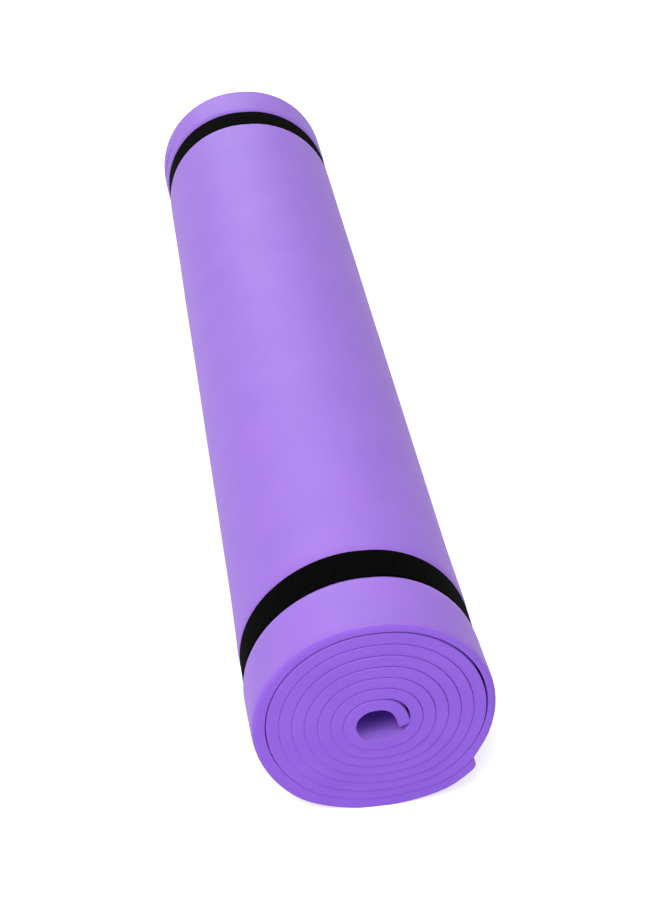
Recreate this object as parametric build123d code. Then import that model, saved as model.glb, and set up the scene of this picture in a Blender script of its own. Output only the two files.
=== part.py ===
from build123d import *
from math import acos, asin, atan2, cos, degrees, radians, sin, sqrt
import os

# A foam exercise mat rolled up on its side, held by two loops of flat elastic tape.
# Millimetres. The roll's axis is Y, +Z is up, and the roll lies on the floor at Z = 0.
# The origin is on the floor under the middle of the roll, and the front end is at -Y.

# The foam sheet, as it was cut
mat_length = 1730.0
mat_width = 610.0
mat_thickness = 6.0
layer_gap = 0.12

# How it is rolled: half turns about two centres, joined by short level runs, and a little askew, so that
# the core stands out at the front end and sinks in as far at the rear
core_radius = 9.58
core_flat = 3.6
tip_curl_radius = 8.0
tip_curl_angle = 72.0
tip_gap = 0.3
tip_corner_radius = 0.8
tail_corner_radius = 4.0
rest_flattening = 0.8
core_step_out = 5.5

# The two loops of elastic tape, each measured in from its own end of the roll
tape_width = 20.0
tape_thickness = 1.2
front_band_inset = 31.5
rear_band_inset = 39.5
band_clearance = 0.25
floor_clearance = 0.05

# The lap where a loop's two ends are sewn together, low on the right of the roll
lap_length = 24.0
lap_angle = -28.0
seam_rows = 2
seam_spacing = 12.0
stitches_in_row = 6
stitch_pitch = 3.0
stitch_length = 2.6
stitch_diameter = 0.6
stitch_slant = 20.0
stitch_play = 0.03

# The rubber threads that run round inside the woven tape, cut square
thread_count = 9
thread_pitch = 2.0
thread_size = 0.5
thread_play = 0.04

# Two ends nearer than this meet
same_point = 1e-6

layer_pitch = mat_thickness + layer_gap
left_centre = Vector(0, 0)
right_centre = Vector(core_flat, layer_pitch / 2)
curl_centre = Vector(0, core_radius - tip_curl_radius)


def direction(angle):
    """The unit vector at that angle, in degrees, in the roll's section."""
    return Vector(cos(radians(angle)), sin(radians(angle)))


def angle_of(vector):
    """The angle of a vector in the roll's section, in degrees."""
    return degrees(atan2(vector.Y, vector.X))


# --- The roll's section: X to the right, Y up, seen from the front end ---


def straight_tip():
    """How far the sheet runs straight from its tip to its curl. The tip's outer corner stops tip_gap
    short of the layer behind it."""
    heading = direction(-tip_curl_angle)
    leaving = curl_centre + (tip_curl_radius + mat_thickness) * direction(90 - tip_curl_angle) - right_centre
    reach = core_radius + layer_pitch / 2 - tip_gap
    ahead = leaving.dot(heading)
    return sqrt(ahead**2 + reach**2 - leaving.length**2) - ahead


def half_turns():
    """The half turns that the sheet fills from its tip out, as (centre, inner radius, start, sweep).
    A last scrap too short for the tail's rounded corner is left off."""
    middle = mat_thickness / 2
    curl_length = radians(tip_curl_angle) * (tip_curl_radius + middle)
    left_over = mat_length - straight_tip() - curl_length
    turns = []
    while left_over > 2 * tail_corner_radius:
        goes_down = len(turns) % 2 == 0
        centre, start = (left_centre, 90) if goes_down else (right_centre, -90)
        inner_radius = core_radius + len(turns) * layer_pitch / 2
        sweep = min(180.0, degrees(left_over / (inner_radius + middle)))
        turns.append((centre, inner_radius, start, sweep))
        left_over -= radians(sweep) * (inner_radius + middle) + core_flat
    return turns


def sheet_side(turns, depth):
    """One side of the sheet from tip to tail: depth 0 faces the core, and mat_thickness faces out."""
    curl_radius = tip_curl_radius + depth
    curl = CenterArc(curl_centre, curl_radius, 90 - tip_curl_angle, tip_curl_angle)
    edges = [Line(curl @ 0 + straight_tip() * direction(-tip_curl_angle), curl @ 0), curl]
    for number, (centre, inner_radius, start, sweep) in enumerate(turns):
        arc = CenterArc(centre, inner_radius + depth, start, sweep)
        if number > 0:
            edges.append(Line(edges[-1] @ 1, arc @ 0))
        edges.append(arc)
    return edges


def roll_section(turns):
    """The whole sheet seen on its edge, with the corners of its tip and tail rounded."""
    inner = sheet_side(turns, 0)
    outer = sheet_side(turns, mat_thickness)
    tip_cut = Line(inner[0] @ 0, outer[0] @ 0)
    tail_cut = Line(inner[-1] @ 1, outer[-1] @ 1)
    section = make_face(inner + outer + [tip_cut, tail_cut])
    tip_corners = section.vertices().sort_by_distance(tip_cut @ 0.5)[:2]
    section = fillet(tip_corners, tip_corner_radius)
    tail_corner = section.vertices().sort_by_distance(tail_cut @ 1)[0]
    return fillet(tail_corner, tail_corner_radius)


def taut_loop(turns, distance):
    """The closed line of a taut loop round the roll, a distance outside the foam. It follows the last turn,
    rounds the tail's corner, and bridges the step down from the tail in a straight run."""
    centre, inner_radius, start, sweep = turns[-1]
    radius = inner_radius + mat_thickness
    corner_radius = radius - tail_corner_radius
    corner_angle = start + sweep - degrees(asin(tail_corner_radius / corner_radius))
    corner = centre + corner_radius * direction(corner_angle)
    for under, end in ((turns[-3], start + 180), (turns[-2], start + 360)):
        under_centre, under_radius = under[0], under[1] + mat_thickness
        to_corner = corner - under_centre
        lift = degrees(acos((under_radius - tail_corner_radius) / to_corner.length))
        meeting = start + (angle_of(to_corner) + lift - start) % 360
        if meeting <= end:
            break
    arcs = [
        CenterArc(centre, radius + distance, start, corner_angle - start),
        CenterArc(corner, tail_corner_radius + distance, corner_angle, meeting - corner_angle),
        CenterArc(under_centre, under_radius + distance, meeting, end - meeting),
    ]
    if end == start + 180:
        other_centre, other_inner = turns[-2][:2]
        arcs.append(CenterArc(other_centre, other_inner + mat_thickness + distance, end, 180))
    gaps = [(arc @ 1, following @ 0) for arc, following in zip(arcs, arcs[1:] + arcs[:1])]
    runs = [Line(*gap) for gap in gaps if (gap[1] - gap[0]).length > same_point]
    return Wire(arcs + runs)


turns = half_turns()
bare_roll = taut_loop(turns, 0).bounding_box()
underside = bare_roll.min.Y + rest_flattening
relief = underside + floor_clearance + tape_thickness + band_clearance


def above(face, level):
    """What of a face in the roll's section is above a level."""
    beyond = bare_roll.size.length
    return face & (Pos(0, level) * Rectangle(2 * beyond, beyond, align=(Align.CENTER, Align.MIN)))


def loop_face(distance):
    """The face inside the taut loop, flat underneath where the roll rests."""
    return above(make_face(taut_loop(turns, distance)), relief - distance)


def loop_layer(distance, thickness):
    """The face between the taut loop at a distance outside the foam and one further out."""
    return loop_face(distance + thickness) - loop_face(distance)


# --- Solids: the section set upright on the floor and drawn out along Y ---

roll_middle = (bare_roll.min.X + bare_roll.max.X) / 2
roll_plane = Plane(origin=(-roll_middle, 0, -underside), x_dir=(1, 0, 0), z_dir=(0, -1, 0))
front_end = -mat_width / 2
rear_end = mat_width / 2


def along_roll(face, near, far):
    """A face of the section drawn out along the roll, from Y = near to Y = far."""
    return extrude(roll_plane.offset(-far) * face, amount=far - near)


def coned_bar():
    """A round bar along the roll, twice as thick. Its front end leans out from the roll's rim to its
    axis, and its rear end leans in as far, as the edges of the layers do."""
    radius = bare_roll.size.X
    half = Polyline(
        (0, front_end - core_step_out),
        (radius, front_end + core_step_out),
        (radius, rear_end + core_step_out),
        (0, rear_end - core_step_out),
        close=True,
    )
    return Pos(0, 0, -underside) * revolve(make_face(half), Axis.Y)


def mat():
    """The rolled sheet. From each band out to its end the underside is drawn in, so that the band
    passes between the foam and the floor."""
    sheet = along_roll(above(roll_section(turns), underside), front_end - core_step_out, rear_end)
    sheet &= coned_bar()
    drawn_in = above(make_face(taut_loop(turns, 0)), underside) - loop_face(0)
    reach = tape_width + band_clearance
    front_relief = along_roll(drawn_in, front_end - core_step_out, front_end + front_band_inset + reach)
    rear_relief = along_roll(drawn_in, rear_end - rear_band_inset - reach, rear_end)
    return sheet - front_relief - rear_relief


def lap_place(travel):
    """A place on the outside of the lap, travel mm along the loop from the lap's middle, as a 2D
    location whose X runs along the loop."""
    loop = taut_loop(turns, band_clearance + 2 * tape_thickness)
    aim = Vector(roll_middle, 0) + bare_roll.size.length * direction(lap_angle)
    foot = loop.distance_to_with_closest_points(aim)[1]
    share = loop.param_at_point(foot) + travel / loop.length
    return Pos(loop @ share) * Rot(0, 0, angle_of(loop % share))


def across_tape(count, pitch):
    """Offsets of evenly pitched things across the tape, about its middle."""
    return [(number - (count - 1) / 2) * pitch for number in range(count)]


def rubber_threads(near, play=0):
    """The rubber threads inside a band whose front edge is at Y = near, or with play their tunnels."""
    size = thread_size + 2 * play
    ring = loop_layer(band_clearance + (tape_thickness - size) / 2, size)
    middle = near + tape_width / 2
    places = [middle + offset for offset in across_tape(thread_count, thread_pitch)]
    return [along_roll(ring, place - size / 2, place + size / 2) for place in places]


def stitches(near, play=0):
    """The stitches of a band's seam, sunk half into the lap, or with play the dents that they lie in."""
    seam = across_tape(seam_rows, seam_spacing)
    depth = near + tape_width / 2
    threads = []
    for row, travel in enumerate(seam):
        slant = stitch_slant if row % 2 == 0 else -stitch_slant
        for offset in across_tape(stitches_in_row, stitch_pitch):
            place = roll_plane.offset(-depth - offset).location * lap_place(travel)
            stitch = Rot(0, slant, 0) * Cylinder(stitch_diameter / 2 + play, stitch_length + 2 * play)
            threads.append(place * stitch)
    return threads


def band(near):
    """A loop of woven elastic tape whose front edge is at Y = near, with its two ends lapped."""
    loop = along_roll(loop_layer(band_clearance, tape_thickness), near, near + tape_width)
    lap_window = lap_place(0) * Rectangle(lap_length, lap_length)
    lap = loop_layer(band_clearance + tape_thickness, tape_thickness) & lap_window
    tape = loop + along_roll(lap, near, near + tape_width)
    return tape - rubber_threads(near, thread_play) - stitches(near, stitch_play)


rolled_mat = mat()
to_middle = Pos(0, -rolled_mat.bounding_box().center().Y, 0)


def save(name, solids):
    """Write one node's solids to its STEP file, with the origin under the middle of the roll."""
    placed = [to_middle * solid for solid in solids]
    export_step(Compound(label=name, children=placed), f"parts/{name}.step")


os.makedirs("parts", exist_ok=True)
save("mat", rolled_mat.solids())
for side, near in (
    ("front", front_end + front_band_inset),
    ("rear", rear_end - rear_band_inset - tape_width),
):
    save(f"{side}_band", band(near).solids())
    save(f"{side}_band_rubber", [thread.solid() for thread in rubber_threads(near)])
    save(f"{side}_band_stitching", [stitch.solid() for stitch in stitches(near)])
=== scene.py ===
# %% [markdown]
# # A rolled foam exercise mat
# The object is one long sheet of soft foam, rolled up on itself, with a loop of black elastic tape
# slipped over each end of the roll. Two things make it look real: the sheet has to be one continuous
# spiral with its own thickness, and the foam has to give way where the elastic squeezes it.
# The frame is the exact model of the same object. It is loaded first, because every piece made here
# takes its place from it and rides on one of its bodies.

# %% Load the frame
from math import acos, asin, atan2, ceil, degrees, pi, radians, tau

import bpy
import numpy as np
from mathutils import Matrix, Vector, noise


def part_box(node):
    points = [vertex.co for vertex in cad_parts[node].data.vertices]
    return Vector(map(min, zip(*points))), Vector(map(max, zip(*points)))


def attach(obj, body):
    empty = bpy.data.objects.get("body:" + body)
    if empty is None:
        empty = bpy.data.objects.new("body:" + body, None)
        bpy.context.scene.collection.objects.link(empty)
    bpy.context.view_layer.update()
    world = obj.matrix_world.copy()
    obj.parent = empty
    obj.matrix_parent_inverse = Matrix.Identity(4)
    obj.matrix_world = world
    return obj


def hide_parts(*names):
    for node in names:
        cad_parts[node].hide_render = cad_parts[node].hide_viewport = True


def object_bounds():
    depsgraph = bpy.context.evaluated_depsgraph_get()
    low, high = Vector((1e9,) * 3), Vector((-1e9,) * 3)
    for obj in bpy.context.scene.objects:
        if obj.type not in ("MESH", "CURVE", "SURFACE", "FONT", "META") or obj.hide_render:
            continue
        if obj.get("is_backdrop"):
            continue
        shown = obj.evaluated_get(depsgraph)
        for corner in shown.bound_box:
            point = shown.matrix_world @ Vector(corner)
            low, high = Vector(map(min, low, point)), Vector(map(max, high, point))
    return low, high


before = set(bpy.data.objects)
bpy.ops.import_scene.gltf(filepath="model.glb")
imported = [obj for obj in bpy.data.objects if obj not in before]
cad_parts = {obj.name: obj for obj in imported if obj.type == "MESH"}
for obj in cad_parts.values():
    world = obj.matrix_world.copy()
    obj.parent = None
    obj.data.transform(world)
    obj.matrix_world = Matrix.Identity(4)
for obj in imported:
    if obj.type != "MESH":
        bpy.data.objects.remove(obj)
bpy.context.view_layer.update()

mm = 0.001
mat_low, mat_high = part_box("mat")
print("the roll measures", [round(side / mm, 1) for side in mat_high - mat_low], "mm")

# %% [markdown]
# ## Small helpers
# Colours are easiest to compare as the hex values that a colour chart or a colour picker gives, but
# a shader works with linear light, so one function converts them. Another adds a node to a material,
# sets it and links it in a single call, which keeps each material short enough to read as a recipe.

# %% Helpers for colours and nodes
def linear(hex_colour):
    """A hex colour as it is seen on screen, turned to the linear light that shaders use."""
    levels = [int(hex_colour[place : place + 2], 16) / 255 for place in (1, 3, 5)]
    return tuple(v / 12.92 if v <= 0.04045 else ((v + 0.055) / 1.055) ** 2.4 for v in levels) + (1.0,)


def add_node(tree, kind, inputs=(), **settings):
    """Adds a shader node, sets its properties, then links or sets its inputs. An input is named, or
    numbered where several share a name."""
    node = tree.nodes.new("ShaderNode" + kind)
    for name, value in settings.items():
        setattr(node, name, value)
    for name, value in dict(inputs).items():
        if isinstance(value, bpy.types.NodeSocket):
            tree.links.new(value, node.inputs[name])
        else:
            node.inputs[name].default_value = value
    return node


def new_material(name):
    """An empty node material and its output node."""
    material = bpy.data.materials.new(name)
    material.use_nodes = True
    material.node_tree.nodes.clear()
    return material, add_node(material.node_tree, "OutputMaterial")


print("foam violet in linear light:", [round(v, 3) for v in linear("#A274E2")[:3]])

# %% [markdown]
# ## The camera
# The roll lies with one end towards us. The camera stands in front of that end, a little to its left
# and well above it, and looks along the roll, so that the far end shrinks in the distance. A long
# lens would flatten that, and a short one would swell the near end. About 70 mm keeps a calm balance
# between the two. The camera is turned towards a point just beside the roll's axis, with its own top
# kept upwards, so that its horizon stays level.

# %% Camera
CAMERA_PLACE = Vector((-0.1072, -0.9046, 0.6468))
CAMERA_AIM = Vector((0.0118, -0.0762, 0.058))
CAMERA_LENS = 70.1

camera = bpy.data.objects.new("camera", bpy.data.cameras.new("camera"))
bpy.context.scene.collection.objects.link(camera)
bpy.context.scene.camera = camera
camera.location = CAMERA_PLACE
camera.rotation_euler = (CAMERA_AIM - CAMERA_PLACE).to_track_quat("-Z", "Y").to_euler()
camera.data.sensor_width = 36.0
camera.data.lens = CAMERA_LENS
print("camera stands", round((CAMERA_AIM - CAMERA_PLACE).length, 2), "m from its aim")

# %% [markdown]
# ## Light and floor
# Foam like this is usually shown on a white sweep under soft light. A dim white world reaches every
# side. The key, a large soft box in front and high up on the left, lights the near end and the left
# flank, and a weaker one lifts the top from above. The third box stands low behind the roll: matt
# foam reflects most at a shallow angle, so that box draws the broad pale sheen along the roll's top.
# The world and the floor look white to the camera and to reflections, but not to the rays that light
# the object. So the background reads as white paper, no more light falls on the roll, and its soft
# shadow stays.

# %% World, lamps and floor
WORLD_LEVEL = 0.36
WHITE = linear("#FFFFFF")
PAPER = linear("#F4F4F4")
FLOOR_SIZE = 8.0
FLOOR_LIFT = 0.6


def seen_directly(tree):
    """1 for the rays that see a surface directly, mirrored or through glass, and 0 for those that
    light the object."""
    rays = add_node(tree, "LightPath").outputs
    mirrored = add_node(tree, "Math", {0: rays["Is Glossy Ray"], 1: rays["Is Transmission Ray"]},
                        operation="MAXIMUM")
    seen = add_node(tree, "Math", {0: rays["Is Camera Ray"], 1: mirrored.outputs[0]}, operation="MAXIMUM")
    return seen.outputs[0]


def add_lamp(name, place, aim, size, watts):
    """A square soft box that shines from its place towards its aim."""
    lamp = bpy.data.objects.new(name, bpy.data.lights.new(name, "AREA"))
    bpy.context.scene.collection.objects.link(lamp)
    lamp.location = place
    lamp.rotation_euler = (Vector(aim) - Vector(place)).to_track_quat("-Z", "Y").to_euler()
    lamp.data.size = size
    lamp.data.energy = watts


world = bpy.data.worlds.new("white_studio")
bpy.context.scene.world = world
world.use_nodes = True
world.node_tree.nodes.clear()
tree = world.node_tree
level = add_node(tree, "MapRange", {"Value": seen_directly(tree), "To Min": WORLD_LEVEL, "To Max": 1.0})
sky = add_node(tree, "Background", {"Color": WHITE, "Strength": level.outputs["Result"]})
add_node(tree, "OutputWorld", {"Surface": sky.outputs["Background"]})

add_lamp("key_box", place=(-0.6, -1.2, 2.0), aim=(0, -0.2, 0.06), size=1.0, watts=32.0)
add_lamp("top_box", place=(-0.3, 0.9, 2.4), aim=(0, 0, 0.06), size=1.5, watts=5.0)
add_lamp("sheen_box", place=(-0.45, 2.4, 1.3), aim=(0, 0, 0.06), size=1.4, watts=20.0)

half = FLOOR_SIZE / 2
floor_corners = [(-half, -half, 0), (half, -half, 0), (half, half, 0), (-half, half, 0)]
floor_mesh = bpy.data.meshes.new("floor")
floor_mesh.from_pydata(floor_corners, [], [(0, 1, 2, 3)])
floor = bpy.data.objects.new("floor", floor_mesh)
bpy.context.scene.collection.objects.link(floor)

paper, out = new_material("white_paper_sweep")
tree = paper.node_tree
lift = add_node(tree, "Math", {0: seen_directly(tree), 1: FLOOR_LIFT}, operation="MULTIPLY")
matt = add_node(tree, "BsdfDiffuse", {"Color": PAPER})
glow = add_node(tree, "Emission", {"Color": WHITE, "Strength": lift.outputs[0]})
both = add_node(tree, "AddShader", {0: matt.outputs["BSDF"], 1: glow.outputs["Emission"]})
tree.links.new(both.outputs["Shader"], out.inputs["Surface"])
floor_mesh.materials.append(paper)
floor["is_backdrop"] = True

bpy.context.scene.view_settings.view_transform = "Standard"
print("world level", WORLD_LEVEL, "and floor", FLOOR_SIZE, "m across")

# %% [markdown]
# ## The route of the sheet
# A rolled sheet isn't a set of rings. Its middle follows one line from the tip in the core to the
# tail outside. A tidy way to draw that line is with half turns about two centres that lie half a
# layer apart: each half turn is then a true arc, half a layer wider than the last, and short level
# runs join them. Each stretch is kept as a length and a function of the distance along it, which
# gives the place and the outward direction there. The elastic loops are drawn later with the same
# two kinds of stretch. The roll's size comes from the sheet: the frame only says where it lies.

# %% Arcs and runs
SHEET_LENGTH = 1730.0 * mm
SHEET_WIDTH = 610.0 * mm
THICKNESS = 6.0 * mm
LAYER_PITCH = 6.12 * mm
CORE_RADIUS = 9.55 * mm
CORE_FLAT = 3.6 * mm
TIP_RUN = 6.9 * mm
TIP_LEVEL = 1.8 * mm
TIP_CURL_RADIUS = 7.6 * mm
TIP_CURL_ANGLE = radians(72)
TAIL_CORNER = 4.0 * mm
SAME_PLACE = 1e-7


def heading(angle):
    """The direction at that angle in the roll's section, X to the right and Z up."""
    return np.array([np.cos(angle), np.sin(angle)])


def arc(centre, radius, start, sweep):
    """A stretch that turns left about a centre, as its length and a function of the distance."""
    return radius * sweep, lambda gone: (centre + radius * heading(start + gone / radius),
                                         heading(start + gone / radius))


def run(start, end, outward):
    """A straight stretch between two points, with one outward direction."""
    length = float(np.hypot(*(end - start)))
    return length, lambda gone: (start + (end - start) * gone / length, outward)


def joined(stretches):
    """The stretches in order, with a straight run wherever one ends away from where the next starts."""
    whole = [stretches[0]]
    for length, place in stretches[1:]:
        last_length, last_place = whole[-1]
        end, outward = last_place(last_length)
        if np.hypot(*(place(0)[0] - end)) > SAME_PLACE:
            whole.append(run(end, place(0)[0], outward))
        whole.append((length, place))
    return whole


def half_turns(left_centre):
    """Every half turn from the core out, as (centre, radius of its inner side, start, sweep)."""
    right_centre = left_centre + [CORE_FLAT, LAYER_PITCH / 2]
    middle = THICKNESS / 2
    left = SHEET_LENGTH - TIP_RUN - TIP_LEVEL - TIP_CURL_ANGLE * (TIP_CURL_RADIUS + middle)
    turns = []
    while left > 2 * TAIL_CORNER:
        number = len(turns)
        centre, start = (left_centre, pi / 2) if number % 2 == 0 else (right_centre, -pi / 2)
        radius = CORE_RADIUS + number * LAYER_PITCH / 2
        sweep = min(pi, left / (radius + middle))
        turns.append((centre, radius, start, sweep))
        left -= sweep * (radius + middle) + CORE_FLAT
    return turns


roll_radius = half_turns(np.zeros(2))[-2][1] + THICKNESS
left_centre = np.array([mat_low.x + roll_radius, mat_high.z - roll_radius])
turns = half_turns(left_centre)
tail_angle = degrees(turns[-1][2] + turns[-1][3])
print(len(turns), "half turns, and the tail stops at", round(tail_angle, 1), "degrees")

# %% [markdown]
# Rolling starts by folding the sheet's tip down into the core. So the line begins with a straight
# tip, bends over in a curl tighter than the core itself, and runs level for a moment before the first
# half turn takes over. The tip lies almost against the layer behind it, with a thin dark slit between.

# %% Route of the sheet's middle
def sheet_route():
    """The middle of the sheet from tip to tail: a straight tip, the curl round the core, the turns."""
    middle = THICKNESS / 2
    curl_centre = left_centre + [TIP_LEVEL, CORE_RADIUS - TIP_CURL_RADIUS]
    curl = arc(curl_centre, TIP_CURL_RADIUS + middle, pi / 2 - TIP_CURL_ANGLE, TIP_CURL_ANGLE)
    curl_start, outward = curl[1](0)
    tip = run(curl_start + TIP_RUN * heading(-TIP_CURL_ANGLE), curl_start, outward)
    arcs = [arc(centre, radius + middle, start, sweep) for centre, radius, start, sweep in turns]
    return joined([tip, curl] + arcs)


route = sheet_route()
print("the route is", round(sum(length for length, _ in route) / mm, 1), "mm long")

# %% [markdown]
# ## Stations along the sheet
# The mesh of the sheet is a skin over stations: at each one, a thin upright loop as wide as the mat
# and as thick as the foam is set across the route. A station every 5 mm or so is fine enough for a
# smooth outline. The corners of the tip and of the tail need more: the tip's inner corner is crisp,
# but its outer one is worn round, and so is the tail's. How far the sheet has turned is kept too,
# because the last whole turn is the one that can be seen.

# %% Stations
STATION_STEP = 5.0 * mm
CORE_STEP = radians(9)
CLOSEST_STATIONS = 0.02 * mm
TIP_CORNER = 0.8 * mm
TIP_WORN = 3.0 * mm
CORNER_STEPS = np.array([0.0, 0.04, 0.14, 0.3, 0.5, 0.75, 1.0])


def station_distances(route, crowded):
    """Distances along a route at which the skin gets a station, closer where it bends tightly."""
    distances, gone = list(crowded), 0.0
    for length, place in route:
        first = min(length, STATION_STEP)
        bend = acos(np.clip(place(0)[1] @ place(first)[1], -1, 1)) * length / first
        pieces = max(1, ceil(length / STATION_STEP), ceil(bend / CORE_STEP))
        distances += [gone + length * number / pieces for number in range(pieces + 1)]
        gone += length
    distances = np.array(sorted(distances))
    return distances[np.append(True, np.diff(distances) > CLOSEST_STATIONS)]


def along(route, distances):
    """The places and outward directions at those distances along a route."""
    places, outwards = [], []
    ends = np.cumsum([length for length, _ in route])
    for gone in distances:
        number = min(int(np.searchsorted(ends, gone - SAME_PLACE / 100)), len(route) - 1)
        length, place = route[number]
        spot, outward = place(gone - (ends[number] - length))
        places.append(spot)
        outwards.append(outward)
    return np.array(places), np.array(outwards)


total = sum(length for length, _ in route)
crowded = [CORNER_STEPS * TIP_CORNER, CORNER_STEPS * TIP_WORN, total - CORNER_STEPS * TAIL_CORNER]
travel = station_distances(route, np.concatenate(crowded))
spots, outwards = along(route, travel)
swings = np.degrees(np.unwrap(np.arctan2(outwards[:, 1], outwards[:, 0])))
before_tail = np.radians(swings[-1] - swings)
to_tail = total - travel
print(len(travel), "stations")

# %% [markdown]
# ## How soft foam gives way
# Several things shape the foam, and each is a small function of where a point lies:
#
# - The elastic squeezes the roll, which bulges up again beside it, so that the tape lies sunk between
#   two soft banks. It is tighter at the rear.
# - The roll's own weight presses its underside flat on the floor.
# - The sheet was rolled a little askew, so at the near end each layer stands out further than the one
#   around it, and the core most of all.
# - Beyond the elastic the outermost layer has relaxed, which leaves a dark gap under it for most of the
#   way round. Both rims have spread, and the free inner layers have shifted up and to the right.
# - No soft roll is quite round: this one stands up to a millimetre or so fuller at its upper left.
#
# Modelling them beats painting them, because the gap and the steps then catch true shadows from any
# side. Where an amount changes along or around the roll, it is read off a short row of values, each
# set at its place in millimetres from the roll's middle or in degrees from its right side.

# %% Squeeze, swell and slack
BAND_CLEARANCE = 0.25 * mm
LAP_ANGLE = radians(-28)
SINK = {"front": 0.6 * mm, "rear": 1.2 * mm}
SINK_EASES = radians(20), radians(60)
FOAM_UNDER_TAPE = BAND_CLEARANCE - 0.1 * mm
SQUEEZE_REACH = 1.6 * mm
SWELL = {-303: 1.75, -271: 1.6, -251: 1.25, -195: 0.45, 0: 0.65, 195: 0.75, 248: 0.9, 268: 1.25, 307: 1.3}
NEAR_SPREAD = 1.1 * mm
FAR_SPREAD = 0.7 * mm
RESTING_FROM = 0.8
FULLNESS = 1.0 * mm
FULLEST_AT = radians(111.5)
TAIL_DEGREES = -38
NEAR_SLACK = {-37: 0.0, -20: 0.15, -5: 0.5, 20: 0.8, 50: 0.7, 90: 0.35, 135: 0.35, 180: 0.45,
              212: 0.4, 235: 0.2, 255: 0.0, 322: 0.0}
FAR_SLACK = 0.6
CORE_SHIFT = np.array([1.0, 1.3]) * mm
STEP_OUT = 5.5 * mm

bands = {"front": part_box("front_band"), "rear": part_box("rear_band")}
roll_middle = np.array([(mat_low.x + mat_high.x) / 2, left_centre[1]])


def smooth(value, low, high):
    """0 below low, 1 above high, and an easy curve between them."""
    share = np.clip((value - low) / (high - low), 0, 1)
    return share * share * (3 - 2 * share)


def beside_bands(y):
    """0 under either band, rising to 1 a little way off, as foam does beside a tight band."""
    beyond = [np.maximum(low.y - y, y - high.y) for low, high in bands.values()]
    away = np.maximum(np.min(beyond, axis=0), 0)
    return 1 - np.exp(-away / SQUEEZE_REACH)


def near_end(y):
    """0 up to the front band, rising to 1 at the near rim, where the layers are free."""
    return smooth(bands["front"][0].y - y, 0, bands["front"][0].y - mat_low.y)


def far_end(y):
    """0 up to the rear band, rising to 1 at the far rim."""
    return smooth(y - bands["rear"][1].y, 0, mat_high.y - bands["rear"][1].y)


def sink(side, angle):
    """How far a band's tape sinks below its size on bare foam, and not at all at its lap."""
    away = np.abs((angle - LAP_ANGLE + pi) % tau - pi)
    return SINK[side] * smooth(away, *SINK_EASES)


def swell(y, angle):
    """How far the roll's surface stands above the size of the bare roll, which is less than nothing
    under a band. The near rim spreads to the right, and the far rim to the left."""
    free = np.interp(y / mm, list(SWELL), list(SWELL.values())) * mm
    near_spread = NEAR_SPREAD * near_end(y) * np.cos(angle)
    far_spread = FAR_SPREAD * far_end(y) * np.clip(-np.cos(angle), 0, 1) ** 2
    resting = smooth(-np.sin(angle), RESTING_FROM, 1.0)
    under = FOAM_UNDER_TAPE - np.where(y < 0, sink("front", angle), sink("rear", angle))
    return under + (free + near_spread + far_spread - under) * beside_bands(y) * (1 - resting)


def fullness(angle):
    """How far the section differs from round at that angle, and not at all at the bands' laps."""
    return FULLNESS * (np.cos(2 * (angle - FULLEST_AT)) - np.cos(2 * (LAP_ANGLE - FULLEST_AT)))


def slack(angle, y):
    """How far the outermost layer has come away from the next one in, beyond the bands. It is measured
    round from the tail, which holds the layer down."""
    turned = (np.degrees(angle) - TAIL_DEGREES) % 360 + TAIL_DEGREES
    amount = np.interp(turned, list(NEAR_SLACK), list(NEAR_SLACK.values())) * mm
    return amount * (near_end(y) + FAR_SLACK * far_end(y))


def step_out(spots):
    """How far towards the near end the sheet stands at each station."""
    reach = np.hypot(*(spots - roll_middle).T)
    return STEP_OUT * (1 - reach / roll_radius)


print("swell over the near end, the first band and the middle, in mm:",
      np.round(swell(np.array([-300, -280, -261, 0]) * mm, pi / 2) / mm, 2))

# %% [markdown]
# Elastic that is slipped on by hand never sits quite square. Both loops lean back at their tops, by a
# few millimetres, and waver a little on the way round. One wave per turn draws the lean and a second,
# twice as quick, the waver. Each wave has a sideways and an upward part, in millimetres. The foam's
# squeeze has to follow the loop, so one function gives the lean at any angle for both. It is zero at
# the lap, whose stitches stay put.

# %% Lean of the bands
LEAN = {"front": [(0.0, 2.7), (-0.15, 1.7)], "rear": [(-2.75, 2.6), (1.8, 0.25)]}


def lean(side, angle):
    """How far along the roll a band lies from its square place, at an angle round the roll."""
    moved = 0 * angle
    for waves, (sideways, upward) in enumerate(LEAN[side], start=1):
        moved = moved + sideways * mm * (np.cos(waves * angle) - np.cos(waves * LAP_ANGLE))
        moved = moved + upward * mm * (np.sin(waves * angle) - np.sin(waves * LAP_ANGLE))
    return moved


print("the front band leans back", round(lean("front", pi / 2) / mm, 1), "mm at its top")

# %% [markdown]
# ## The skin of the sheet
# The loop at a station runs along the outer side of the foam, round the far end, back along the inner
# side and round the near end. Foam is cut with a blade, so its edges are crisp, with a rounding of
# only a fifth of a millimetre, but the rim of the outermost layer is worn to a soft round. The lines
# of points that run along the roll lie close together beside the bands and the rims, where the shape
# changes quickly, and far apart in between. Plain arrays hold all the points at once, which is far
# quicker than moving them one by one.

# %% Lines of points along the roll
MIDDLE_REACH = 225 * mm
MIDDLE_STEP = 25 * mm
BESIDE_BANDS = np.array([-0.4, 0.3, 1.2, 2.5, 4.5, 7.5, 12, 18]) * mm
BESIDE_RIMS = np.array([4.0, 6.5, 9.5]) * mm
CLOSEST_LINES = 0.5 * mm
RIM_MARGIN = 3.5 * mm
LEAN_EASES = 20 * mm, 30 * mm
CORNER_POINTS = 5
CUT_FACE_SHARES = (0.92, 0.5, 0.08)
near_rim = mat_high.y - SHEET_WIDTH
far_rim = mat_high.y


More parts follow.
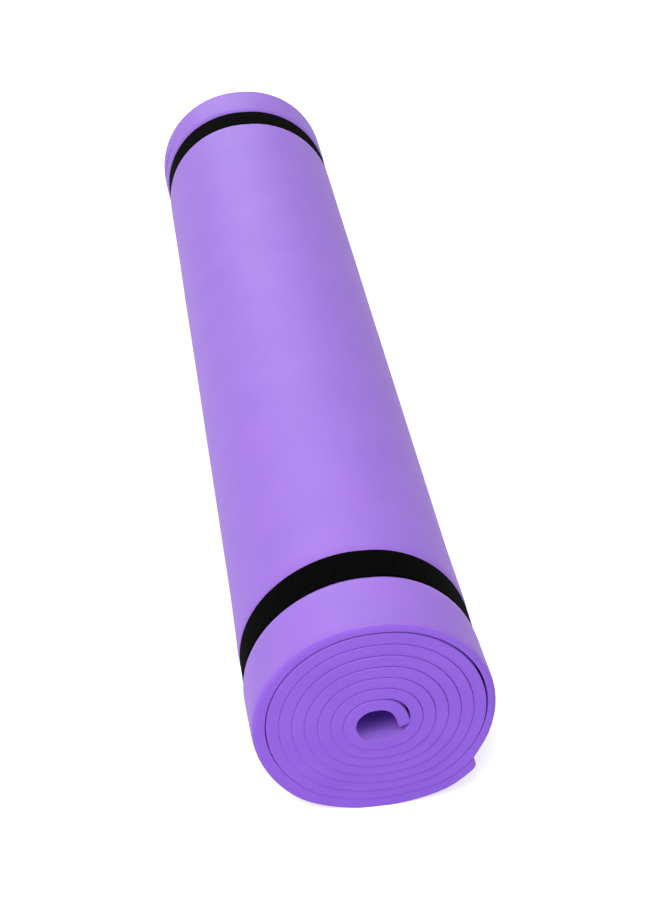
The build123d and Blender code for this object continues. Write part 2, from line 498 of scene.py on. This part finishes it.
def lines_along_roll():
    """The places along Y of the lines of points, between the two rims."""
    lines = list(np.arange(-MIDDLE_REACH, MIDDLE_REACH + MIDDLE_STEP / 2, MIDDLE_STEP))
    for low, high in bands.values():
        lines += list(low.y - BESIDE_BANDS) + list(high.y + BESIDE_BANDS) + [(low.y + high.y) / 2]
    lines += list(near_rim + BESIDE_RIMS) + list(far_rim - BESIDE_RIMS)
    lines = np.array(sorted(lines))
    lines = lines[np.append(True, np.diff(lines) > CLOSEST_LINES)]
    return lines[(lines > near_rim + RIM_MARGIN) & (lines < far_rim - RIM_MARGIN)]


def lean_of_line(line, angle):
    """How far a line of points moves with the band that it runs beside."""
    moved = np.zeros(np.broadcast(line, angle).shape)
    for side, (low, high) in bands.items():
        off = np.abs(line - (low.y + high.y) / 2)
        moved = moved + lean(side, angle) * (1 - smooth(off, *LEAN_EASES))
    return moved


def foam_loop(lines):
    """The points round a station's loop, one row each: the end that the point belongs to (-1 near,
    0 between, 1 far), its Y where it is between, its share of the way from the inner side to the
    outer, and how much of the edge rounding it rises from that and is set in from the end."""
    quarter = np.linspace(0, pi / 2, CORNER_POINTS)

    def corner(end, share):
        return [(end, 0, share, np.sin(turned), 1 - np.cos(turned)) for turned in quarter]

    def side(share):
        return [(0, y, share, 1, 0) for y in lines]

    def cut_face(end):
        return [(end, 0, share, 0, 0) for share in CUT_FACE_SHARES]

    return np.array(corner(-1, 1) + side(1) + corner(1, 1)[::-1] + cut_face(1) + corner(1, 0)
                    + side(0)[::-1] + corner(-1, 0)[::-1] + cut_face(-1)[::-1])


loop = foam_loop(lines_along_roll())
print(len(loop), "points round each loop")

# %% [markdown]
# Each station's loop is now bent to the foam's true state there. All layers follow the swell in step,
# the outermost one comes away by its slack, and its outer side gets a very slight unevenness, which
# every real roll has and which keeps its highlight from looking machined. Points that would sink into
# the floor rest on it instead, and under the bands they leave room for the tape. The tip and the tail
# get their round corners simply by making the last few loops thinner.

# %% Shape of the foam
PRESSED = 0.03 * mm
EDGE_ROUNDING = 0.2 * mm
RIM_ROUNDING = 2.4 * mm
RIM_LENGTH = 1.5
OUTERMOST_FROM = radians(7)
MOST_ROUNDED = 0.45
RIM_UNDERNEATH = 0.35
RIM_EASES = -0.9, 0.0
BAND_FLOOR = 1.35 * mm
UNEVEN = 0.2 * mm
UNEVEN_UNDER_TAPE = 0.25
UNEVEN_LENGTH = 85 * mm
EDGE_WANDER = 0.25 * mm
EDGE_WANDER_LENGTH = UNEVEN_LENGTH / 1.5


def thinning(distance, radius):
    """How much a round corner takes off the thickness, that far from the end of the sheet."""
    short = np.clip(radius - distance, 0, radius)
    return radius - np.sqrt(radius**2 - short**2)


def unevenness(points, length=UNEVEN_LENGTH):
    """A gentle wander between about -1 and 1 at each of a list of points, over that length or so."""
    return np.array([noise.noise(Vector(point) / length) for point in points])


def foam_points():
    """Every point of the sheet's skin, as an array of stations by loop points by X, Y and Z."""
    end, line, share, rise, inset = loop.T
    outermost = smooth(tau - before_tail, 0, OUTERMOST_FROM)[:, None]
    angle = np.radians(swings)[:, None]
    outer, inner = share == 1, share == 0

    top = THICKNESS / 2 + PRESSED - thinning(to_tail, TAIL_CORNER) - thinning(travel, TIP_WORN)
    bottom = -THICKNESS / 2 - PRESSED + thinning(to_tail, EDGE_ROUNDING) + thinning(travel, TIP_CORNER)
    most = MOST_ROUNDED * (top - bottom)
    upper = smooth(np.sin(angle[:, 0]), *RIM_EASES)
    rim_round = RIM_ROUNDING * (RIM_UNDERNEATH + (1 - RIM_UNDERNEATH) * upper)
    outer_round = np.minimum(EDGE_ROUNDING + (rim_round - EDGE_ROUNDING) * outermost[:, 0], most)[:, None]
    inner_round = np.minimum(EDGE_ROUNDING, most)[:, None]
    rounding = np.where(outer, outer_round, np.where(inner, inner_round, 0))

    wander = EDGE_WANDER * unevenness(np.column_stack([travel, 0 * travel, 0 * travel]), EDGE_WANDER_LENGTH)
    toward_us = step_out(spots) + wander
    rims = np.where(end < 0, near_rim, far_rim)
    rolled_over = rounding * (1 + (RIM_LENGTH - 1) * outermost * outer)
    square = np.where(end == 0, line, rims - toward_us[:, None] - end * inset * rolled_over)
    y = square + np.where(end == 0, lean_of_line(line, angle), 0)

    low_side, high_side = (bottom[:, None] + inner_round), (top[:, None] - outer_round)
    depth = low_side + share * (high_side - low_side) + np.where(outer, rise, -rise) * rounding
    reach = np.hypot(*(spots - roll_middle).T)[:, None] / roll_radius
    depth += swell(square, angle) * (outermost + reach * (1 - outermost))
    depth += slack(angle, square) * outermost * (1 - share) + fullness(angle) * reach
    places = spots[:, None, :] + outwards[:, None, :] * depth[:, :, None]
    places = places + CORE_SHIFT * ((1 - share * outermost) * near_end(square))[:, :, None]
    points = np.stack([places[:, :, 0], y, places[:, :, 1]], axis=2)
    seen = (outermost > 0) & outer
    bumps = np.zeros_like(depth)
    free = UNEVEN_UNDER_TAPE + (1 - UNEVEN_UNDER_TAPE) * beside_bands(points[seen][:, 1])
    bumps[seen] = UNEVEN * free * unevenness(points[seen])
    points[:, :, 0] += bumps * outwards[:, None, 0]
    points[:, :, 2] += bumps * outwards[:, None, 1]
    lowest = BAND_FLOOR * (1 - beside_bands(square))
    points[:, :, 2] = np.where(outer, np.maximum(points[:, :, 2], lowest), points[:, :, 2])
    return points


foam = foam_points()
print("foam spans", np.round((foam.max(axis=(0, 1)) - foam.min(axis=(0, 1))) / mm, 1), "mm")

# %% [markdown]
# ## From points to a mesh
# A helper turns a grid of points into a mesh: rows are stations, columns go round the loop. A closed
# grid wraps its last row to its first, as an elastic loop needs, and an open one gets a flat face at
# each end. Shading is smooth, because every edge has its own small rounding in the mesh.

# %% Grid to mesh
def grid_object(name, points, closed=False, coordinates=None):
    """A mesh object skinned over rows of looped points. coordinates are a length and a width for
    every point, kept as a map for woven patterns."""
    rows, columns = points.shape[:2]
    faces = []
    for row in range(rows if closed else rows - 1):
        after = (row + 1) % rows
        for column in range(columns):
            beside = (column + 1) % columns
            faces.append((row * columns + column, row * columns + beside,
                          after * columns + beside, after * columns + column))
    if not closed:
        faces.append(tuple(range(columns))[::-1])
        faces.append(tuple(range((rows - 1) * columns, rows * columns)))
    mesh = bpy.data.meshes.new(name)
    mesh.from_pydata(points.reshape(-1, 3).tolist(), [], faces)
    mesh.polygons.foreach_set("use_smooth", [True] * len(faces))
    if coordinates is not None:
        table = coordinates.reshape(-1, 2)
        layer = mesh.uv_layers.new(name="tape")
        corners = np.empty(len(mesh.loops), dtype=int)
        mesh.loops.foreach_get("vertex_index", corners)
        layer.data.foreach_set("uv", table[corners].ravel())
    mesh.validate()
    mesh.update()
    piece = bpy.data.objects.new(name, mesh)
    bpy.context.scene.collection.objects.link(piece)
    return piece


rolled_sheet = grid_object("rolled_foam_sheet", foam)
print(len(rolled_sheet.data.polygons), "faces in the foam")
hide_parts("mat")
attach(rolled_sheet, "roll")

# %% [markdown]
# ## The elastic loops
# Each loop is a flat elastic tape, 20 mm wide. It is woven from black polyester round rubber threads
# that run lengthwise, and each thread raises a low rib. A taut loop follows the last turn of foam,
# rounds the tail's corner and then runs straight down to the layer below, so its line is drawn with
# the same arcs and runs as the sheet. Its section, a flat bar with ribs and rounded selvedges, is
# carried along that line. The real ribs are modelled, and only the weave is left to the finish.

# %% Route of the elastic
TAPE_THICKNESS = 1.2 * mm
FLOOR_CLEARANCE = 0.05 * mm
RIB_PITCH = 2.0 * mm
RIB_DEPTH = 0.11 * mm
SELVEDGE = 0.5 * mm
RIB_POINTS = 4


def tape_route(distance):
    """The closed line of a taut loop, that far outside the foam."""
    centre, radius, start, sweep = turns[-1]
    corner_reach = radius + THICKNESS - TAIL_CORNER
    corner_angle = start + sweep - asin(TAIL_CORNER / corner_reach)
    corner = centre + corner_reach * heading(corner_angle)
    under_centre, under_radius = turns[-3][0], turns[-3][1] + THICKNESS
    to_corner = corner - under_centre
    lift = acos((under_radius - TAIL_CORNER) / np.hypot(*to_corner))
    meeting = atan2(to_corner[1], to_corner[0]) + lift
    far_centre, far_radius = turns[-2][0], turns[-2][1] + THICKNESS
    stretches = [
        arc(centre, radius + THICKNESS + distance, start, corner_angle - start),
        arc(corner, TAIL_CORNER + distance, corner_angle, meeting - corner_angle),
        arc(under_centre, under_radius + distance, meeting, pi / 2 - meeting),
        arc(far_centre, far_radius + distance, pi / 2, pi),
    ]
    return joined(stretches + [(0.0, stretches[0][1])])


def tape_section():
    """Points round the tape's section, as the place across it and in its thickness."""
    width = bands["front"][1].y - bands["front"][0].y
    flat = width / 2 - SELVEDGE
    step = RIB_PITCH / RIB_POINTS
    across = np.arange(-flat, flat + step / 5, step)
    height = TAPE_THICKNESS / 2 - RIB_DEPTH * (0.5 - 0.5 * np.cos(tau * across / RIB_PITCH))
    bend = np.linspace(-pi / 2, pi / 2, 7)[1:-1]
    edge = np.column_stack([flat + SELVEDGE * np.cos(bend), height[-1] * np.sin(bend)])
    top = np.column_stack([across, height])
    return np.concatenate([top, edge[::-1], -top, -edge[::-1]])


section = tape_section()
print("a taut line round the foam is", round(sum(length for length, _ in tape_route(0)) / mm), "mm long")

# %% [markdown]
# The loop's two ends lie one over the other for 24 mm and are sewn through. The over-end is cut and
# heat sealed, and where it carries on into the loop it steps down over the under-end. The lap is a
# second, short length of tape on top of the loop, thinned to almost nothing where it steps down and
# rounded over where it is sealed. Round the loop, the tape wanders a little from its line, as
# stretched elastic does, and each band in its own way: WANDER_APART takes their two wanders from
# places far apart.

# %% Loops and laps
TAPE_STEP = 2.5 * mm
TAPE_WANDER = 0.3 * mm
TAPE_WANDER_LENGTH = UNEVEN_LENGTH / 2
WANDER_APART = 4.5
LAP_LENGTH = 24.0 * mm
LAP_STEP_DOWN = 5.0 * mm
LAP_END_STEPS = np.array([0, 0.1, 0.3, 0.6]) * mm
SEALED_STEPS = np.array([0.6, 0.2, 0]) * mm
LAP_MIDDLE_STATIONS = 20
SEALED_END = 0.4 * mm
THINNEST = 0.04
SEALED_THICKNESS = 0.35
SEARCH_STEP = 0.5 * mm


def laid_on_foam(side, distance, gone):
    """Places, outward directions and angles along a band's route, which is as far out of round as the
    foam and sunk into it."""
    spots, outwards = along(tape_route(distance), gone)
    angle = np.arctan2(outwards[:, 1], outwards[:, 0])
    return spots + outwards * (fullness(angle) - sink(side, angle))[:, None], outwards, angle


def tape_piece(name, side, distance, gone, thickness=1.0, closed=False):
    """Tape laid along a band's route, with stations at the distances gone along it. thickness is the
    share of its full thickness at each station."""
    low, high = bands[side]
    width = high.y - low.y
    spots, outwards, angle = laid_on_foam(side, distance, gone)
    share = np.broadcast_to(thickness, gone.shape)[:, None]
    raised = np.where(section[:, 1] > 0, section[:, 1] * (2 * share - 1), section[:, 1])
    places = spots[:, None, :] + outwards[:, None, :] * raised[:, :, None]
    apart = np.full(gone.shape, low.y * WANDER_APART)
    wander = TAPE_WANDER * unevenness(np.column_stack([spots, apart]), TAPE_WANDER_LENGTH)
    across = np.broadcast_to(section[:, 0], raised.shape)
    y = (low.y + high.y) / 2 + (lean(side, angle) + wander)[:, None] + across
    lowest = FLOOR_CLEARANCE + BAND_CLEARANCE + TAPE_THICKNESS - distance - section[:, 1]
    points = np.stack([places[:, :, 0], y, np.maximum(places[:, :, 1], lowest)], axis=2)
    lengths = np.broadcast_to(gone[:, None], raised.shape)
    piece = grid_object(name, points, closed, np.stack([lengths, across + width / 2], axis=2))
    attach(piece, f"{side}_loop")
    return piece


def nearest_distance(route, target):
    """How far along a route it passes nearest to a point of the section."""
    gone = np.arange(0, sum(length for length, _ in route), SEARCH_STEP)
    return gone[np.argmin(np.hypot(*(along(route, gone)[0] - target).T))]


middle_of_tape = BAND_CLEARANCE + TAPE_THICKNESS / 2
over = middle_of_tape + TAPE_THICKNESS
loop_length = sum(length for length, _ in tape_route(middle_of_tape))
round_loop = np.linspace(0, loop_length, ceil(loop_length / TAPE_STEP), endpoint=False)
between = np.linspace(LAP_END_STEPS[-1], LAP_LENGTH - SEALED_STEPS[0], LAP_MIDDLE_STATIONS)
steps = np.concatenate([LAP_END_STEPS[:-1], between, LAP_LENGTH - SEALED_STEPS[1:]])
stepping_down = THINNEST + (1 - THINNEST) * smooth(steps, 0, LAP_STEP_DOWN)
from_sealed_end = np.clip((LAP_LENGTH - steps) / SEALED_END, 0, 1)
rounded_over = SEALED_THICKNESS + (1 - SEALED_THICKNESS) * np.sqrt(from_sealed_end)
thickness = np.minimum(stepping_down, rounded_over)

elastic = []
for side in bands:
    band = tape_piece(f"{side}_elastic_loop", side, middle_of_tape, round_loop, closed=True)
    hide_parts(f"{side}_band")

    stitching_low, stitching_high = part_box(f"{side}_band_stitching")
    seam = (stitching_low + stitching_high) / 2
    middle = nearest_distance(tape_route(over), np.array([seam.x, seam.z]))
    lap = tape_piece(f"{side}_elastic_lap", side, over, middle - LAP_LENGTH / 2 + steps, thickness)
    elastic += [band, lap]
    print(side, "lap is", round(middle / mm), "mm along a loop of", round(loop_length / mm), "mm")

# %% [markdown]
# The rubber threads run all the way round inside the tape, one under each rib. Nobody sees them until
# the tape is cut, but they lean with their band, so they are drawn again along the same line: nine
# square rings in each band, joined into one piece.

# %% Rubber threads
THREAD_SIZE = 0.5 * mm
THREADS = 9

corners = np.array([[-1, -1], [1, -1], [1, 1], [-1, 1]]) * THREAD_SIZE / 2
lowest = FLOOR_CLEARANCE + TAPE_THICKNESS / 2 + corners[:, 1]
threads = []
for side in bands:
    low, high = bands[side]
    spots, outwards, angle = laid_on_foam(side, middle_of_tape, round_loop)
    places = spots[:, None, :] + outwards[:, None, :] * corners[:, 1:]
    raised = np.maximum(places[:, :, 1], lowest)
    rings = []
    for number in range(THREADS):
        middle = (low.y + high.y) / 2 + (number - (THREADS - 1) / 2) * RIB_PITCH
        y = middle + lean(side, angle)[:, None] + corners[:, 0]
        ring = np.stack([places[:, :, 0], y, raised], axis=2)
        rings.append(grid_object(f"{side}_rubber_threads_{number}", ring, closed=True))
    with bpy.context.temp_override(active_object=rings[0], selected_editable_objects=rings):
        bpy.ops.object.join()
    rings[0].name = f"{side}_rubber_threads"
    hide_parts(f"{side}_band_rubber")
    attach(rings[0], f"{side}_loop")
    threads.append(rings[0])
    print(rings[0].name, len(rings[0].data.polygons), "faces")

# %% [markdown]
# ## Closed-cell foam
# The sheet is EVA foam: a soft plastic full of tiny closed bubbles, moulded as a block and split into
# sheets. The split face is a fine, dry, matt skin. It is coloured right through, so nothing wears off
# it, but it marbles very slightly where the dye is denser. Real cells are about a third of a
# millimetre across, too fine to see here, so the bump draws them about three times coarser, over a
# wider, softer grain. The skin is rough, but it is still a plastic, so at a shallow angle it throws
# back a broad, pale sheen. The cut ends are the same foam sliced across: rougher, duller, and with
# their open cells deeper in the bump. That finish starts a little way round each cut corner.

# %% Foam materials
CELL = 1.0 * mm
SPECKLE = 2.2 * mm
GRAIN = 7 * mm
MARBLING = 28 * mm
CUT_BELOW = 0.8


def eva_foam(name, pale, deep, roughness, gloss, cell_depth):
    """Dyed closed-cell EVA foam, from its paler and deeper violet and how open its cells are."""
    material, out = new_material(name)
    tree = material.node_tree
    place = add_node(tree, "TexCoord").outputs["Object"]
    clouds = add_node(tree, "TexNoise", {"Vector": place, "Scale": 1 / MARBLING, "Detail": 3.0,
                                         "Roughness": 0.55})
    speckle = add_node(tree, "TexNoise", {"Vector": place, "Scale": 1 / SPECKLE, "Detail": 2.0})
    blend = add_node(tree, "Math", {0: speckle.outputs["Fac"], 1: 0.35, 2: clouds.outputs["Fac"]},
                     operation="MULTIPLY_ADD")
    colour = add_node(tree, "ValToRGB", {"Fac": blend.outputs[0]})
    low_stop, high_stop = colour.color_ramp.elements
    low_stop.position, low_stop.color = 0.42, linear(deep)
    high_stop.position, high_stop.color = 0.95, linear(pale)
    cells = add_node(tree, "TexVoronoi", {"Vector": place, "Scale": 1 / CELL, "Randomness": 1.0})
    grain = add_node(tree, "TexNoise", {"Vector": place, "Scale": 1 / GRAIN, "Detail": 4.0})
    height = add_node(tree, "Math", {0: grain.outputs["Fac"], 1: 2.0, 2: cells.outputs["Distance"]},
                      operation="MULTIPLY_ADD")
    bump = add_node(tree, "Bump", {"Height": height.outputs[0], "Distance": cell_depth, "Strength": 0.6})
    dry = add_node(tree, "MapRange", {"Value": speckle.outputs["Fac"], "From Min": 0.3, "From Max": 0.7,
                                      "To Min": roughness - 0.05, "To Max": roughness + 0.05})
    foam = add_node(tree, "BsdfPrincipled", {
        "Base Color": colour.outputs["Color"], "Roughness": dry.outputs["Result"], "IOR": 1.48,
        "Specular IOR Level": gloss, "Normal": bump.outputs["Normal"]})
    tree.links.new(foam.outputs["BSDF"], out.inputs["Surface"])
    return material


foam_skin = eva_foam("eva_foam_split_skin", pale="#A274E2", deep="#9B6EDE", roughness=0.6, gloss=0.6,
                     cell_depth=0.05 * mm)
foam_cut = eva_foam("eva_foam_cut_edge", pale="#9F6DED", deep="#9765E8", roughness=0.8, gloss=0.25,
                    cell_depth=0.09 * mm)
rolled_sheet.data.materials.append(foam_skin)
rolled_sheet.data.materials.append(foam_cut)

at_end = (loop[:, 0] != 0) & (loop[:, 3] < CUT_BELOW)
cut_column = at_end & np.roll(at_end, -1)
finish = np.append(np.tile(cut_column, len(foam) - 1), [True, True]).astype(int)
rolled_sheet.data.polygons.foreach_set("material_index", finish)
rolled_sheet.data.update()
print(int(finish.sum()), "of", len(finish), "faces are cut foam")

# %% [markdown]
# ## Black woven elastic, thread and rubber
# The tape's textured polyester yarn is dyed a deep matt black, and its loose fibres swallow nearly all
# gloss. The weave has a rib over each rubber thread, already in the mesh, and short cross floats of
# yarn that step sideways from rib to rib. They are 0.8 mm long, so a wave along the tape, shifted by
# half a float on every other rib, draws them, and a fine noise adds their fuzz. The seam is sewn with
# black polyester thread, which is smoother and catches more light. Its colour follows its twist, with
# painted shade in the grooves and a painted highlight on the crests. The rubber inside is dull natural
# rubber, seen only if the tape is cut open.

# %% Elastic, thread and rubber materials
FLOAT_LENGTH = 0.8 * mm
FLOAT_DEPTH = 0.04 * mm
FUZZ = 0.6 * mm
DUST = 3 * mm
TWIST_PITCH = 1.948 * mm
TWIST_DEPTH = 0.06 * mm
WAVE_REPEAT = tau / 10
TALC = 1.5 * mm
TALC_DEPTH = 0.02 * mm


def woven_elastic(name):
    """Matt black polyester tape woven over rubber threads."""
    material, out = new_material(name)
    tree = material.node_tree
    place = add_node(tree, "UVMap", uv_map="tape").outputs["UV"]
    parts = add_node(tree, "SeparateXYZ", {"Vector": place})
    rib = add_node(tree, "Math", {0: parts.outputs["Y"], 1: pi / RIB_PITCH}, operation="MULTIPLY")
    shift = add_node(tree, "Math", {0: rib.outputs[0]}, operation="SINE")
    shifted = add_node(tree, "Math", {0: shift.outputs[0], 1: pi / 2}, operation="MULTIPLY")
    wave = add_node(tree, "Math", {0: parts.outputs["X"], 1: tau / FLOAT_LENGTH, 2: shifted.outputs[0]},
                    operation="MULTIPLY_ADD")
    yarn = add_node(tree, "Math", {0: wave.outputs[0]}, operation="SINE")
    fuzz = add_node(tree, "TexNoise", {"Vector": place, "Scale": 1 / FUZZ, "Detail": 3.0})
    height = add_node(tree, "Math", {0: fuzz.outputs["Fac"], 1: 1.2, 2: yarn.outputs[0]},
                      operation="MULTIPLY_ADD")
    bump = add_node(tree, "Bump", {"Height": height.outputs[0], "Distance": FLOAT_DEPTH, "Strength": 0.8})
    dust = add_node(tree, "TexNoise", {"Vector": place, "Scale": 1 / DUST, "Detail": 5.0, "Roughness": 0.7})
    colour = add_node(tree, "ValToRGB", {"Fac": dust.outputs["Fac"]})
    low_stop, high_stop = colour.color_ramp.elements
    low_stop.position, low_stop.color = 0.4, linear("#030303")
    high_stop.position, high_stop.color = 0.75, linear("#0A0B09")
    cloth = add_node(tree, "BsdfPrincipled", {
        "Base Color": colour.outputs["Color"], "Roughness": 0.9, "IOR": 1.5, "Specular IOR Level": 0.02,
        "Normal": bump.outputs["Normal"]})
    tree.links.new(cloth.outputs["BSDF"], out.inputs["Surface"])
    return material


def sewing_thread(name):
    """Twisted black polyester thread, smoother than the tape. A diagonal wave of scale 1 repeats every
    WAVE_REPEAT of X + Y + Z."""
    material, out = new_material(name)
    tree = material.node_tree
    place = add_node(tree, "TexCoord").outputs["Object"]
    twist = add_node(tree, "TexWave", {"Vector": place, "Scale": WAVE_REPEAT / TWIST_PITCH,
                                       "Distortion": 0.5}, bands_direction="DIAGONAL")
    bump = add_node(tree, "Bump", {"Height": twist.outputs["Fac"], "Distance": TWIST_DEPTH,
                                   "Strength": 0.9})
    # The colour follows the twist's bump: painted shade darkens its grooves and a painted highlight
    # lightens its crests.
    twist_painted_shade = add_node(tree, "ValToRGB", {"Fac": twist.outputs["Fac"]})
    twist_painted_shade.color_ramp.elements[0].color = linear("#0B0B0B")
    twist_painted_shade.color_ramp.elements[1].color = linear("#2A2A2B")
    yarn = add_node(tree, "BsdfPrincipled", {
        "Base Color": twist_painted_shade.outputs["Color"], "Roughness": 0.5, "IOR": 1.55, "Specular IOR Level": 0.2,
        "Normal": bump.outputs["Normal"]})
    tree.links.new(yarn.outputs["BSDF"], out.inputs["Surface"])
    return material


def natural_rubber(name):
    """Extruded natural rubber thread, dulled with talc."""
    material, out = new_material(name)
    tree = material.node_tree
    place = add_node(tree, "TexCoord").outputs["Object"]
    talc = add_node(tree, "TexNoise", {"Vector": place, "Scale": 1 / TALC, "Detail": 4.0})
    colour = add_node(tree, "ValToRGB", {"Fac": talc.outputs["Fac"]})
    colour.color_ramp.elements[0].color = linear("#3A3632")
    colour.color_ramp.elements[1].color = linear("#4A4640")
    bump = add_node(tree, "Bump", {"Height": talc.outputs["Fac"], "Distance": TALC_DEPTH, "Strength": 0.5})
    rubber = add_node(tree, "BsdfPrincipled", {
        "Base Color": colour.outputs["Color"], "Roughness": 0.7, "IOR": 1.52,
        "Normal": bump.outputs["Normal"]})
    tree.links.new(rubber.outputs["BSDF"], out.inputs["Surface"])
    return material


elastic_finish = woven_elastic("woven_black_elastic")
for piece in elastic:
    piece.data.materials.append(elastic_finish)
rubber_finish = natural_rubber("natural_rubber_thread")
for piece in threads:
    piece.data.materials.append(rubber_finish)
thread_finish = sewing_thread("twisted_polyester_thread")
for name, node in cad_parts.items():
    if name.endswith("stitching"):
        for slot in node.material_slots:
            slot.material = thread_finish
        print(name, "is finished as", thread_finish.name)

# %% [markdown]
# ## Sizes, and the end
# The dressed roll may stand a little proud of the exact model, as soft foam does, but no more. At the
# end the box round everything that is shown is found.

# %% Boxes and finish
low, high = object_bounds()
